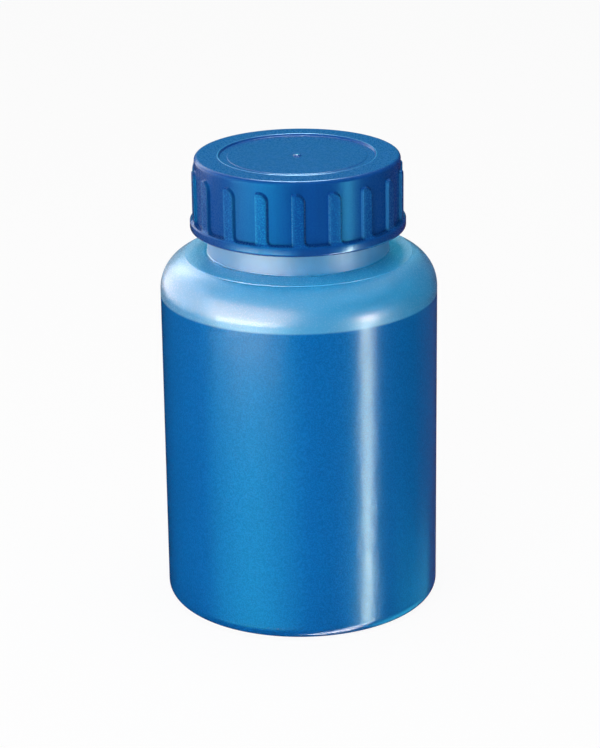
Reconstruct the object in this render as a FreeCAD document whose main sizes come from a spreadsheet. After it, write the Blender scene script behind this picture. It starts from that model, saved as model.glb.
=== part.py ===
"""Wide-neck centrifuge bottle with a screw cap, a sealing ring and a liquid fill.

The bottle stands on its foot ring with +Z up along its axis, and the origin is on that axis in the
plane of the foot. The finger ribs of the cap are counted from the front, which faces -Y. All
lengths are in millimetres and all angles in degrees.
"""
import FreeCAD
import Part
import Sketcher
import math
import os

Vector = FreeCAD.Vector

SIZES = [
    # blow-moulded bottle
    ("body_diameter", 81.0, "outside of the straight wall"),
    ("body_wall", 1.7, "wall of the body and the shoulder"),
    ("base_thickness", 2.8, "floor of the bottle over its foot ring"),
    ("heel_radius", 3.6, "round between the wall and the foot"),
    ("foot_width", 3.0, "flat width of the foot ring"),
    ("push_up", 1.0, "how far the underside is raised inside the foot ring"),
    ("push_up_run", 2.0, "radial run of the slope inside the foot ring"),
    ("straight_top", 95.8, "height at which the straight wall ends"),
    ("shoulder_radius", 10.7, "round between the wall and the ledge"),
    ("shoulder_end_angle", 18.6, "slope of the shoulder where its round ends"),
    ("ledge_step", 0.2, "fine step up from the shoulder to the ledge, left by the mould's neck insert"),
    ("ledge_rise", 1.05, "rise from the shoulder's end to the foot of the neck"),
    ("neck_diameter", 53.0, "outside of the neck under its thread"),
    ("neck_wall", 2.0, "wall of the neck"),
    ("neck_height", 24.0, "from the ledge to the lip"),
    # thread, shared by the neck and the cap
    ("thread_pitch", 5.0, "rise in one turn"),
    ("thread_turns", 1.5, "turns on the neck and in the cap"),
    ("thread_depth", 1.5, "height of the ridge over its wall"),
    ("thread_root_width", 2.6, "width of the ridge at its wall"),
    ("thread_crest_width", 1.3, "width of the ridge at its crest"),
    ("thread_top_drop", 4.0, "from the lip down to the upper end of the neck's ridge"),
    ("thread_clearance", 0.4, "radial clearance between each crest and the wall opposite"),
    ("flank_clearance", 0.15, "gap between the two loaded flanks with the cap closed"),
    ("thread_sink", 0.3, "how far a ridge starts inside its wall"),
    # sealing ring
    ("seal_thickness", 2.0, "height of the sealing ring"),
    ("seal_bore_clearance", 0.25, "ring to the cap's bore, and ring to the spigot"),
    # screw cap
    ("cap_wall", 1.45, "wall between the finger ribs"),
    ("cap_depth", 19.2, "from the cap's lower edge to its ceiling"),
    ("cap_top_thickness", 2.4, "top of the cap at its rim"),
    ("cap_edge_radius", 1.2, "round of the top edge"),
    ("flange_height", 3.0, "height of the flange at the cap's lower edge"),
    ("flange_proud", 1.55, "flange over the panels between the ribs"),
    ("flange_chamfer", 1.0, "chamfer under the flange"),
    ("rib_count", 18, "finger ribs around the cap"),
    ("rib_width", 3.2, "width of a finger rib"),
    ("rib_proud", 0.9, "rib over the panels"),
    ("rib_top", 17.8, "top of the ribs over the cap's lower edge"),
    ("rib_top_round", 1.75, "round corner at the top of a rib"),
    ("rib_foot_round", 1.7, "flare at the foot of a rib"),
    ("recess_diameter", 45.4, "shallow recess in the top"),
    ("recess_depth", 0.5, "depth of that recess"),
    ("gate_diameter", 1.8, "stub left by the moulding gate"),
    ("gate_height", 0.3, "height of the stub"),
    ("spigot_clearance", 0.4, "cap's spigot to the bore of the neck"),
    ("spigot_wall", 1.2, "wall of the spigot"),
    ("spigot_reach", 1.6, "how far the spigot reaches below the sealing ring"),
    # liquid
    ("level_drop", 1.5, "liquid's surface below the end of the straight wall"),
    ("liquid_clearance", 0.1, "liquid to the bottle's wall"),
]

# flats that stand for the small rounds
HEEL_FLAT_COUNT = 3
INNER_SHOULDER_FLAT_COUNT = 2
CAP_EDGE_FLAT_COUNT = 2


class Size:
    """A length or angle of the model: its expression over the sheet, and its present value."""

    def __init__(self, text, value):
        self.text = text
        self.value = float(value)

    def _join(self, sign, other, value):
        return Size("(" + self.text + " " + sign + " " + expression(other) + ")", value)

    def __add__(self, other):
        return self._join("+", other, self.value + number(other))

    def __sub__(self, other):
        return self._join("-", other, self.value - number(other))

    def __mul__(self, other):
        return self._join("*", other, self.value * number(other))

    def __truediv__(self, other):
        return self._join("/", other, self.value / number(other))

    def __neg__(self):
        return self * -1


def number(size):
    """The plain value of a Size or of a number."""
    return size.value if isinstance(size, Size) else float(size)


def expression(size):
    """The expression of a Size or of a number."""
    return size.text if isinstance(size, Size) else repr(size)


def sine(angle):
    """Sine of an angle in degrees."""
    return Size("sin(" + expression(angle) + " * 1 deg)", math.sin(math.radians(number(angle))))


def cosine(angle):
    """Cosine of an angle in degrees."""
    return Size("cos(" + expression(angle) + " * 1 deg)", math.cos(math.radians(number(angle))))


def make_sheet(doc):
    """Write the driving sizes into the spreadsheet and return them by name."""
    sheet = doc.addObject("Spreadsheet::Sheet", "sizes")
    sizes = {}
    for row, (name, value, note) in enumerate(SIZES, start=1):
        sheet.set("A%d" % row, note)
        sheet.set("B%d" % row, str(value))
        sheet.setAlias("B%d" % row, name)
        sizes[name] = Size("sizes." + name, value)
    doc.recompute()
    return sizes


def bind(target, path, size):
    """Tie a property, or part of one, to the sheet."""
    target.setExpression(path, size.text)


def origin_feature(body, role):
    """One of the planes or axes of a body's own origin."""
    return [feature for feature in body.Origin.OriginFeatures if feature.Role == role][0]


class Outline:
    """A closed outline in a body's XZ plane, with every corner held by bound lengths.

    The first coordinate is the radius, or the place across the front, and the second the height.
    """

    def __init__(self, body, name, x, z):
        self.sketch = body.newObject("Sketcher::SketchObject", name)
        self.sketch.AttachmentSupport = [(origin_feature(body, "XZ_Plane"), "")]
        self.sketch.MapMode = "FlatFace"
        self.corners = [(x, z)]
        self.rounds = []

    def line(self, x, z):
        """Run straight to the next corner."""
        self.corners.append((x, z))
        self.rounds.append(None)

    def arc(self, x, z, radius, turn):
        """Run to the next corner on an arc: turn is 1 to the left and -1 to the right."""
        self.corners.append((x, z))
        self.rounds.append((radius, turn))

    def flats(self, centre_x, centre_z, radius, first, last, count):
        """Follow a small round by equal flats, from one angle of its circle to another."""
        for step in range(count + 1):
            share = step / count
            angle = first * (1 - share) + last * share
            self.line(centre_x + radius * cosine(angle), centre_z + radius * sine(angle))

    def close(self):
        """Run straight back to the first corner, and draw and constrain the sketch."""
        self.rounds.append(None)
        ends = []
        for index, bend in enumerate(self.rounds):
            start = self.point(index)
            end = self.point(index + 1)
            if bend is None:
                edge = self.sketch.addGeometry(Part.LineSegment(start, end))
                ends.append((edge, 1, 2))
            else:
                radius, turn = bend
                edge = self.sketch.addGeometry(arc_between(start, end, radius.value, turn))
                ends.append((edge, 1, 2) if turn > 0 else (edge, 2, 1))
                self.hold("Radius", "radius_%d" % index, radius, edge)
        for index, (edge, first, last) in enumerate(ends):
            next_edge, next_first, _ = ends[(index + 1) % len(ends)]
            self.sketch.addConstraint(
                Sketcher.Constraint("Coincident", edge, last, next_edge, next_first))
            x, z = self.corners[index]
            self.hold("DistanceX", "x_%d" % index, x, -1, 1, edge, first)
            self.hold("DistanceY", "z_%d" % index, z, -1, 1, edge, first)
        return self.sketch

    def point(self, index):
        x, z = self.corners[index % len(self.corners)]
        return Vector(number(x), number(z), 0)

    def hold(self, kind, name, size, *where):
        index = self.sketch.addConstraint(Sketcher.Constraint(kind, *where, number(size)))
        if isinstance(size, Size):
            self.sketch.renameConstraint(index, name)
            bind(self.sketch, "Constraints." + name, size)


def arc_between(start, end, radius, turn):
    """The short arc of a radius between two points, in the sketch's anticlockwise order."""
    chord = end - start
    middle = (start + end) * 0.5
    to_left = Vector(-chord.y, chord.x, 0).normalize()
    reach = math.sqrt(max(radius ** 2 - (chord.Length / 2) ** 2, 0.0))
    centre = middle + to_left * (reach * turn)
    first, last = (start, end) if turn > 0 else (end, start)
    circle = Part.Circle(centre, Vector(0, 0, 1), radius)
    return Part.ArcOfCircle(circle, circle.parameter(first), circle.parameter(last))


def new_body(doc, label):
    body = doc.addObject("PartDesign::Body", label)
    body.Label = label
    return body


def revolve(body, name, sketch):
    """A full turn of a sketch about the body's axis."""
    feature = body.newObject("PartDesign::Revolution", name)
    feature.Profile = sketch
    feature.ReferenceAxis = (sketch, ["V_Axis"])
    feature.Angle = 360.0
    return feature


def thread_ridge(body, name, wall, outward, height, size):
    """A right-handed helical ridge on a wall's radius, whose lower end is centred at a height."""
    root = wall - size["thread_sink"] * outward
    crest = wall + size["thread_depth"] * outward
    half_root = size["thread_root_width"] / 2
    half_crest = size["thread_crest_width"] / 2
    section = Outline(body, name + "_section", root, height - half_root)
    section.line(wall, height - half_root)
    section.line(crest, height - half_crest)
    section.line(crest, height + half_crest)
    section.line(wall, height + half_root)
    section.line(root, height + half_root)
    sketch = section.close()
    ridge = body.newObject("PartDesign::AdditiveHelix", name)
    ridge.Profile = sketch
    ridge.ReferenceAxis = (sketch, ["V_Axis"])
    ridge.Mode = "pitch-turns-angle"
    ridge.LeftHanded = False
    bind(ridge, "Pitch", size["thread_pitch"])
    bind(ridge, "Turns", size["thread_turns"])
    return ridge


def bottle_form(size):
    """Radii and heights that the bottle shares with what sits in it and on it."""
    form = {}
    form["outer"] = size["body_diameter"] / 2
    form["inner"] = form["outer"] - size["body_wall"]
    form["line_radius"] = (form["outer"] - size["shoulder_radius"]
                           + size["shoulder_radius"] * sine(size["shoulder_end_angle"]))
    form["line_height"] = (size["straight_top"]
                           + size["shoulder_radius"] * cosine(size["shoulder_end_angle"]))
    form["neck"] = size["neck_diameter"] / 2
    form["neck_bore"] = form["neck"] - size["neck_wall"]
    form["ledge_height"] = form["line_height"] + size["ledge_rise"]
    form["lip"] = form["ledge_height"] + size["neck_height"]
    form["foot_outer"] = form["outer"] - size["heel_radius"]
    form["foot_inner"] = form["foot_outer"] - size["foot_width"]
    form["thread_height"] = (form["lip"] - size["thread_top_drop"]
                             - size["thread_pitch"] * size["thread_turns"])
    return form


def make_bottle(doc, size, form):
    """One blow-moulded piece: base with a foot ring, wall, shoulder, ledge and threaded neck."""
    body = new_body(doc, "bottle")
    wall = size["body_wall"]
    heel = size["heel_radius"]
    inner_heel = heel - wall
    inner_shoulder = size["shoulder_radius"] - wall
    shoulder_centre = form["outer"] - size["shoulder_radius"]
    ceiling = size["straight_top"] + inner_shoulder * cosine(size["shoulder_end_angle"])

    half = Outline(body, "bottle_half_section", 0, size["push_up"])
    half.line(form["foot_inner"] - size["push_up_run"], size["push_up"])
    half.line(form["foot_inner"], 0)
    half.flats(form["foot_outer"], heel, heel, -90, 0, HEEL_FLAT_COUNT)
    half.line(form["outer"], size["straight_top"])
    half.arc(form["line_radius"], form["line_height"], size["shoulder_radius"], 1)
    half.line(form["line_radius"], form["line_height"] + size["ledge_step"])
    half.line(form["neck"], form["ledge_height"])
    half.line(form["neck"], form["lip"])
    half.line(form["neck_bore"], form["lip"])
    half.line(form["neck_bore"], ceiling)
    half.flats(shoulder_centre, size["straight_top"], inner_shoulder,
               -size["shoulder_end_angle"] + 90, 0, INNER_SHOULDER_FLAT_COUNT)
    half.line(form["inner"], size["base_thickness"] + inner_heel)
    half.line(form["inner"] - inner_heel, size["base_thickness"])
    half.line(0, size["base_thickness"])
    revolve(body, "bottle_shell", half.close())
    doc.recompute()

    thread_ridge(body, "neck_thread", form["neck"], 1, form["thread_height"], size)
    return body


def make_liquid(doc, size, form):
    """The liquid: it fills the bottle up to just under the end of the straight wall."""
    body = new_body(doc, "liquid_fill")
    gap = size["liquid_clearance"]
    radius = form["inner"] - gap
    heel = size["heel_radius"] - size["body_wall"]
    floor = size["base_thickness"] + gap
    level = size["straight_top"] - size["level_drop"]

    half = Outline(body, "liquid_half_section", 0, floor)
    half.line(radius - heel, floor)
    half.line(radius, floor + heel)
    half.line(radius, level)
    half.line(0, level)
    revolve(body, "liquid_volume", half.close())
    return body


def cap_form(size, form):
    """Radii of the cap, in which z is counted from its own lower edge."""
    cap = {}
    cap["bore"] = form["neck"] + size["thread_depth"] + size["thread_clearance"]
    cap["panel"] = cap["bore"] + size["cap_wall"]
    cap["rib"] = cap["panel"] + size["rib_proud"]
    cap["flange"] = cap["panel"] + size["flange_proud"]
    cap["height"] = size["cap_depth"] + size["cap_top_thickness"]
    cap["spigot"] = form["neck_bore"] - size["spigot_clearance"]
    cap["place"] = form["lip"] + size["seal_thickness"] - size["cap_depth"]
    return cap


def make_seal(doc, size, form, cap):
    """The sealing ring: it lies on the lip, around the cap's spigot, under the cap's ceiling."""
    body = new_body(doc, "sealing_ring")
    clearance = size["seal_bore_clearance"]
    inside = cap["spigot"] + clearance
    outside = cap["bore"] - clearance

    section = Outline(body, "seal_section", inside, 0)
    section.line(outside, 0)
    section.line(outside, size["seal_thickness"])
    section.line(inside, size["seal_thickness"])
    revolve(body, "seal_ring", section.close())
    bind(body, "Placement.Base.z", form["lip"])
    return body


def make_cap(doc, size, form, cap):
    """One injection-moulded piece: cap with a flange, finger ribs, thread and centring spigot."""
    body = new_body(doc, "screw_cap")
    top = cap["height"]
    recess = size["recess_diameter"] / 2
    recess_floor = top - size["recess_depth"]
    gate = size["gate_diameter"] / 2
    ceiling = size["cap_depth"]
    spigot_bore = cap["spigot"] - size["spigot_wall"]
    spigot_end = ceiling - size["seal_thickness"] - size["spigot_reach"]
    chamfer = size["flange_chamfer"]
    edge = size["cap_edge_radius"]

    half = Outline(body, "cap_half_section", cap["bore"], 0)
    half.line(cap["flange"] - chamfer, 0)
    half.line(cap["flange"], chamfer)
    half.line(cap["flange"], size["flange_height"])
    half.line(cap["panel"], size["flange_height"])
    half.flats(cap["panel"] - edge, top - edge, edge, 0, 90, CAP_EDGE_FLAT_COUNT)
    half.line(recess, top)
    half.line(recess, recess_floor)
    half.line(gate, recess_floor)
    half.line(gate, recess_floor + size["gate_height"])
    half.line(0, recess_floor + size["gate_height"])
    half.line(0, ceiling)
    half.line(spigot_bore, ceiling)
    half.line(spigot_bore, spigot_end)
    half.line(cap["spigot"], spigot_end)
    half.line(cap["spigot"], ceiling)
    half.line(cap["bore"], ceiling)
    revolve(body, "cap_shell", half.close())
    doc.recompute()

    # each rib has a square left corner, a round right corner and a flare at its right foot
    side = size["rib_width"] / 2
    rib_base = size["flange_height"] / 2
    top_round = size["rib_top_round"]
    foot_round = size["rib_foot_round"]
    front = Outline(body, "rib_front", -side, rib_base)
    front.line(side + foot_round, rib_base)
    front.line(side + foot_round, size["flange_height"])
    front.arc(side, size["flange_height"] + foot_round, foot_round, -1)
    front.line(side, size["rib_top"] - top_round)
    front.arc(side - top_round, size["rib_top"], top_round, 1)
    front.line(-side, size["rib_top"])
    rib_sketch = front.close()
    rib_start = cap["bore"] + size["cap_wall"] / 2
    bind(rib_sketch, "AttachmentOffset.Base.z", rib_start)
    rib = body.newObject("PartDesign::Pad", "finger_rib")
    rib.Profile = rib_sketch
    bind(rib, "Length", cap["rib"] - rib_start)
    doc.recompute()

    ribs = body.newObject("PartDesign::PolarPattern", "finger_ribs")
    ribs.Originals = [rib]
    ribs.Axis = (origin_feature(body, "Z_Axis"), [""])
    ribs.Angle = 360.0
    bind(ribs, "Occurrences", size["rib_count"])
    body.Tip = ribs
    doc.recompute()

    # with the cap closed, the upper flank of its ridge bears on the lower flank of the neck's
    mesh_width = ((size["thread_root_width"] + size["thread_crest_width"]) / 2
                  - (size["thread_root_width"] - size["thread_crest_width"]) / 2
                  * size["thread_clearance"] / size["thread_depth"])
    height = form["thread_height"] - mesh_width - size["flank_clearance"] - cap["place"]
    thread_ridge(body, "cap_thread", cap["bore"], -1, height, size)
    bind(body, "Placement.Base.z", cap["place"])
    return body


def check(doc, bodies):
    """Stop before anything is written if a feature failed or a piece is not one sound solid."""
    for item in doc.Objects:
        if "Invalid" in item.State or "Error" in item.State:
            raise RuntimeError("feature failed: " + item.Name)
    for body in bodies:
        shape = body.Shape
        if shape.isNull() or not shape.isValid() or len(shape.Solids) != 1:
            raise RuntimeError("piece is not one sound solid: " + body.Label)


def main():
    doc = FreeCAD.newDocument("centrifuge_bottle")
    size = make_sheet(doc)
    form = bottle_form(size)
    cap = cap_form(size, form)
    bodies = [
        make_bottle(doc, size, form),
        make_liquid(doc, size, form),
        make_seal(doc, size, form, cap),
        make_cap(doc, size, form, cap),
    ]
    doc.recompute()
    check(doc, bodies)
    os.makedirs("parts", exist_ok=True)
    for body in bodies:
        body.Shape.exportStep("parts/" + body.Label + ".step")


main()
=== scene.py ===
"""Wide-neck centrifuge bottle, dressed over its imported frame.

The bottle shell, its liquid, the sealing ring and the ribbed screw cap are made as smooth turned
forms at the places of their frame nodes, and get moulded polypropylene, liquid and silicone
finishes. A pale studio surrounds them: two softboxes light them, and a ring of cards and a strip
light show only in their gloss.
"""

import math

import bpy
from mathutils import Matrix, Vector


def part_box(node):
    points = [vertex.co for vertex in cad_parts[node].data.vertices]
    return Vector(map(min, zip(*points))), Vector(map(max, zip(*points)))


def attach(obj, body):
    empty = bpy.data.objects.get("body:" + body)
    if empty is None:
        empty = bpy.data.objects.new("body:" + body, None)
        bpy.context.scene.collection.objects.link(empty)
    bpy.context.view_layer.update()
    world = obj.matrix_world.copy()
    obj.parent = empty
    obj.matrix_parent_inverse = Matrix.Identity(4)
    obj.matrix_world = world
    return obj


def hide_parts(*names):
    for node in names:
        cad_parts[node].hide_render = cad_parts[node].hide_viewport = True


bl_info = {
    "name": "Centrifuge bottle",
    "version": (1, 0, 0),
    "blender": (4, 5, 0),
    "location": "View3D > Sidebar > Bottle",
    "description": "Builds a wide-neck centrifuge bottle with its cap, ring, liquid and studio",
    "category": "Object",
}

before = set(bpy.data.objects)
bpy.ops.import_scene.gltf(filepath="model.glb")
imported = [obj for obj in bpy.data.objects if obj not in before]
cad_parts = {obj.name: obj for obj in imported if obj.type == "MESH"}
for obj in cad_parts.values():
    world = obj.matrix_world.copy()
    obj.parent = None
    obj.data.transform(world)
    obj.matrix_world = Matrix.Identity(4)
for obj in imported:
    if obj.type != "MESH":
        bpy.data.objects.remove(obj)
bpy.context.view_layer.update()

MM = 0.001
AXIS_RADIUS = 1e-7
ROUND_TOLERANCE = 0.004 * MM
TURN_STEPS = 240
CREASE = math.radians(40)
FRONT = math.radians(-90)
LIQUID_GAP = 0.1 * MM
BODY_MIDDLE = 0.07
LID_HEIGHT = 0.14
WHITE = (1.0, 1.0, 1.0, 1.0)


def node_radius(node):
    """Outer radius of a frame node, from the extent of its box across the axis."""
    low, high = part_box(node)
    return (high.x - low.x) / 2


def node_heights(node):
    """Lowest and highest point of a frame node."""
    low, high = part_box(node)
    return low.z, high.z


# ---------------------------------------------------------------------------- sizes and colours

def length(name, description, default):
    """A length that a user may change, given in millimetres."""
    return bpy.props.FloatProperty(
        name=name, description=description, default=default * MM, min=0.0,
        precision=5, unit="LENGTH", subtype="DISTANCE")


def angle(name, description, default):
    """An angle that a user may change, given in degrees."""
    return bpy.props.FloatProperty(
        name=name, description=description, default=math.radians(default),
        unit="ROTATION", subtype="ANGLE")


def factor(name, description, default):
    """A share or strength without a unit."""
    return bpy.props.FloatProperty(name=name, description=description, default=default, min=0.0)


def colour(name, description, default):
    """A surface colour in linear values."""
    return bpy.props.FloatVectorProperty(
        name=name, description=description, default=default, size=3,
        min=0.0, max=1.0, subtype="COLOR")


class BottleSizes(bpy.types.PropertyGroup):
    """Sizes of the blow-moulded shell, and of the liquid's edge at its wall."""

    wall: length("Wall", "Wall of the body and the shoulder", 1.7)
    floor: length("Floor", "Thickness of the base over the foot ring", 2.8)
    heel_round: length("Heel round", "Round between the wall and the foot", 3.6)
    foot_width: length("Foot width", "Flat width of the foot ring", 3.0)
    push_up: length("Push-up", "How far the underside is raised inside the foot", 1.0)
    push_up_run: length("Push-up run", "Radial run of the slope inside the foot", 2.0)
    straight_top: length("Straight top", "Height at which the straight wall ends", 95.8)
    shoulder_round: length("Shoulder round", "Round between the wall and the ledge", 10.7)
    shoulder_slope: angle("Shoulder slope", "Slope of the shoulder where its round ends", 18.6)
    ledge_step: length("Ledge step", "Fine step left by the mould's neck insert", 0.2)
    neck_diameter: length("Neck diameter", "Outside of the neck under its thread", 53.0)
    neck_wall: length("Neck wall", "Wall of the neck", 2.0)
    neck_height: length("Neck height", "From the ledge to the lip", 24.0)
    foot_round: length("Foot round", "Small rounds of the foot ring", 0.5)
    neck_foot_round: length("Neck foot round", "Hollow round at the foot of the neck", 0.35)
    gutter: length("Gutter", "Depth of the shallow gutter around the foot of the neck", 0.22)
    gutter_width: length("Gutter width", "Width of that gutter", 1.1)
    lip_round: length("Lip round", "Rounds of the lip", 0.35)
    step_round: length("Step round", "Tiny rounds of the ledge step", 0.07)
    parting: length("Parting line", "Depth of the fine mould line over the heel", 0.03)
    meniscus: length("Meniscus", "How far the liquid creeps up the wall", 0.5)
    meniscus_run: length("Meniscus run", "How far in from the wall the liquid is raised", 1.6)


class ThreadSizes(bpy.types.PropertyGroup):
    """Sizes of the right-hand thread that the neck and the cap share."""

    pitch: length("Pitch", "Rise in one turn", 5.0)
    turns: factor("Turns", "Turns of each ridge", 1.5)
    depth: length("Depth", "Height of the ridge over its wall", 1.5)
    root_width: length("Root width", "Width of the ridge at its wall", 2.6)
    crest_width: length("Crest width", "Width of the ridge at its crest", 1.3)
    top_drop: length("Top drop", "From the lip to the upper end of the neck's ridge", 4.0)
    crest_gap: length("Crest gap", "Radial gap between a crest and the wall opposite", 0.4)
    flank_gap: length("Flank gap", "Gap between the loaded flanks of the closed cap", 0.15)
    sink: length("Sink", "How far a ridge starts inside its wall", 0.3)
    crest_round: length("Crest round", "Rounds along the crest", 0.35)
    run_out: factor("Run-out", "Share of a ridge that each end takes to run out", 0.035)


class CapSizes(bpy.types.PropertyGroup):
    """Sizes of the injection-moulded cap, with heights from its lower edge."""

    wall: length("Wall", "Wall between the finger ribs", 1.45)
    depth: length("Depth", "From the lower edge to the ceiling", 19.2)
    edge_round: length("Edge round", "Round of the top edge", 1.2)
    flange_height: length("Flange height", "Height of the flange at the lower edge", 3.0)
    flange_proud: length("Flange", "Flange over the panels between the ribs", 1.55)
    flange_round: length("Flange round", "Round under the flange", 0.9)
    rib_count: bpy.props.IntProperty(
        name="Ribs", description="Finger ribs around the cap", default=18, min=3)
    rib_width: length("Rib width", "Width of a finger rib", 3.2)
    rib_proud: length("Rib", "Rib over the panels", 0.9)
    rib_top: length("Rib top", "Top of the ribs over the lower edge", 17.8)
    rib_top_round: length("Rib top round", "Round right corner at the top of a rib", 2.3)
    rib_foot_round: length("Rib foot round", "Flare at the right foot of a rib", 1.7)
    steep_side: length("Steep side", "Run of the crisp left side of a rib", 0.16)
    drafted_side: length("Drafted side", "Run of the drafted right side of a rib", 0.55)
    recess_diameter: length("Recess", "Diameter of the shallow recess in the top", 45.4)
    recess_depth: length("Recess depth", "Depth of the recess", 0.5)
    dish_diameter: length("Dish", "Diameter of the level middle of the recess", 40.2)
    dish_rise: length("Dish rise", "How far that middle stands over the groove around it", 0.14)
    bead_height: length("Bead height", "Height of the fine bead around the recess", 0.14)
    bead_width: length("Bead width", "Width of that bead", 0.55)
    dimple_diameter: length("Dimple", "Diameter of the dimple around the gate", 5.6)
    dimple_depth: length("Dimple depth", "Depth of that dimple", 0.2)
    gate_diameter: length("Gate", "Diameter of the stub left by the gate", 1.8)
    gate_height: length("Gate height", "Height of the stub over the dimple", 0.5)
    spigot_gap: length("Spigot gap", "Radial gap of the spigot in the neck's bore", 0.4)
    spigot_wall: length("Spigot wall", "Wall of the spigot", 1.2)
    spigot_reach: length("Spigot reach", "Reach of the spigot below the ring", 1.6)


class Finishes(bpy.types.PropertyGroup):
    """Colours and grain of the materials."""

    shell: colour("Shell", "Natural polypropylene", (0.02, 0.33, 0.66))
    cover: factor("Cover", "How much the dry shell hides what is behind it", 0.9)
    cap: colour("Cap", "Dyed polypropylene", (0.005, 0.068, 0.30))
    liquid: colour("Liquid", "Dyed sample liquid", (0.004, 0.127, 0.385))
    ring: colour("Ring", "White silicone", (0.80, 0.80, 0.77))
    # painted glints: lighter specks laid on the grain of the rib faces
    painted_glint: colour("Sparkle", "Bright grains on the faces of the ribs", (0.01, 0.22, 0.55))
    # painted highlight along the crisp left edges of the ribs and on the bead
    crest: colour("Crest", "Crisp edges of the ribs and the bead", (0.05, 0.30, 0.62))
    grain: length("Grain", "Size of the satin grain of moulded surfaces", 0.42)


class Studio(bpy.types.PropertyGroup):
    """Camera, lights, floor and curtain."""

    distance: length("Distance", "Camera to the bottle's axis", 800.0)
    elevation: angle("Elevation", "Camera over the horizon", 20.38)
    pivot_height: length("Pivot height", "Height that the camera circles around", 60.0)
    aim_height: length("Aim height", "Height that the camera looks at", 67.99)
    roll: angle("Roll", "Tilt of the picture", -0.75)
    lens: bpy.props.FloatProperty(
        name="Lens", description="Focal length", default=129.4, unit="CAMERA")
    key: factor("Key", "Power of the broad softbox at the left, in watts", 2.35)
    key_gloss: factor("Key gloss", "Brightness of that softbox as the gloss shows it", 10.0)
    low_gloss: factor("Low gloss", "Brightness of the bright foot of that softbox", 26.0)
    veil_gloss: factor("Veil gloss", "Brightness of the wide card at the left", 3.9)
    strip_gloss: factor("Strip gloss", "Brightness of the strip as the gloss shows it", 50.0)
    halo_gloss: factor("Halo gloss", "Brightness of the cool card behind the strip", 3.6)
    cool_gloss: factor("Cool gloss", "Brightness of the cool card under the softbox", 5.8)
    back_gloss: factor("Back gloss", "Brightness of the cool card behind the cap", 0.75)
    side_gloss: factor("Side gloss", "Brightness of the low cool card at the right", 3.9)
    ledge_gloss: factor("Ledge gloss", "Brightness of the soft card behind at the left", 4.2)
    violet_gloss: factor("Violet gloss", "Brightness of the dim card behind at the right", 0.07)
    table_gloss: factor("Table gloss", "Brightness of the strip's pool on the table", 22.0)
    spot_gloss: factor("Spot gloss", "Brightness of the card over the strip", 50.0)
    top: factor("Top", "Power of the softbox overhead, in watts", 3.3)
    top_gloss: factor("Top gloss", "Brightness of the card overhead, a little behind", 60.0)
    ambient: factor("Ambient", "Light of the room", 0.36)
    floor: colour("Floor", "Surface under the bottle", (0.85, 0.85, 0.86))
    floor_glow: factor("Floor glow", "Share of the floor that shows as plain white", 0.93)
    curtain: colour("Curtain", "Dark cloth around the table", (0.02, 0.02, 0.025))


# ---------------------------------------------------------------------------- turned forms

def arc_count(radius, sweep):
    """Chords that keep an arc within the tolerance of its circle."""
    reach = min(ROUND_TOLERANCE / radius, 0.5)
    return max(2, math.ceil(sweep / (2 * math.acos(1 - reach))))


def rounded(corners):
    """Points (radius, height) of an outline from its corners (radius, height, round)."""
    points = []
    for index, (across, up, bend) in enumerate(corners):
        corner = Vector((across, up))
        if bend <= 0 or index in (0, len(corners) - 1):
            points.append(corner)
            continue
        to_last = (Vector(corners[index - 1][:2]) - corner).normalized()
        to_next = (Vector(corners[index + 1][:2]) - corner).normalized()
        half = to_last.angle(to_next) / 2
        centre = corner + (to_last + to_next).normalized() * (bend / math.sin(half))
        first = corner + to_last * (bend / math.tan(half)) - centre
        last = corner + to_next * (bend / math.tan(half)) - centre
        sweep = first.angle_signed(last)
        count = arc_count(bend, abs(sweep))
        for step in range(count + 1):
            points.append(centre + Matrix.Rotation(-sweep * step / count, 2) @ first)
    return points


def turned_mesh(name, outline, angles, full_turn, relief=None):
    """Turn an outline about the vertical axis, closing its poles.

    The outline runs with the solid on its left. relief may move a point outwards.
    """
    vertices = []
    rows = []
    for across, up in outline:
        if across < AXIS_RADIUS:
            rows.append([len(vertices)] * len(angles))
            vertices.append((0.0, 0.0, up))
            continue
        rows.append(range(len(vertices), len(vertices) + len(angles)))
        for turn in angles:
            radius = across + (relief(turn, across, up) if relief else 0.0)
            vertices.append((radius * math.cos(turn), radius * math.sin(turn), up))
    faces = []
    columns = len(angles) if full_turn else len(angles) - 1
    for lower, upper in zip(rows, rows[1:]):
        for column in range(columns):
            beside = (column + 1) % len(angles)
            ring = [lower[column], lower[beside], upper[beside], upper[column]]
            faces.append(list(dict.fromkeys(ring)))
    mesh = bpy.data.meshes.new(name)
    mesh.from_pydata(vertices, [], [face for face in faces if len(face) > 2])
    mesh.update()
    return mesh


def even_turn(count):
    """Equal angles around a full turn."""
    return [2 * math.pi * step / count for step in range(count)]


def add_object(name, mesh):
    """Link a mesh as an object at the origin."""
    piece = bpy.data.objects.new(name, mesh)
    bpy.context.scene.collection.objects.link(piece)
    return piece


def store_values(piece, name, values):
    """Store a value on every point of a piece, for its material to read."""
    attribute = piece.data.attributes.new(name, "FLOAT", "POINT")
    attribute.data.foreach_set("value", values)


def settle(piece):
    """Shade a piece smoothly between its creases, with broad faces kept flat-looking."""
    piece.data.shade_smooth()
    piece.data.set_sharp_from_angle(angle=CREASE)
    weighted = piece.modifiers.new("weighted_normals", "WEIGHTED_NORMAL")
    weighted.keep_sharp = True
    replace_by_evaluated(piece)
    return piece


def replace_by_evaluated(piece):
    """Turn a piece's modifiers into plain mesh."""
    graph = bpy.context.evaluated_depsgraph_get()
    mesh = bpy.data.meshes.new_from_object(piece.evaluated_get(graph))
    piece.modifiers.clear()
    piece.data = mesh


def finish_piece(piece, body, material, nodes=()):
    """Give a finished piece its material in its slot and its body, and hide the frame nodes it
    stands for.
    """
    piece.data.materials.clear()
    piece.data.materials.append(material)
    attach(piece, body)
    if nodes:
        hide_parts(*nodes)


# ---------------------------------------------------------------------------- geometry nodes

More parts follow.
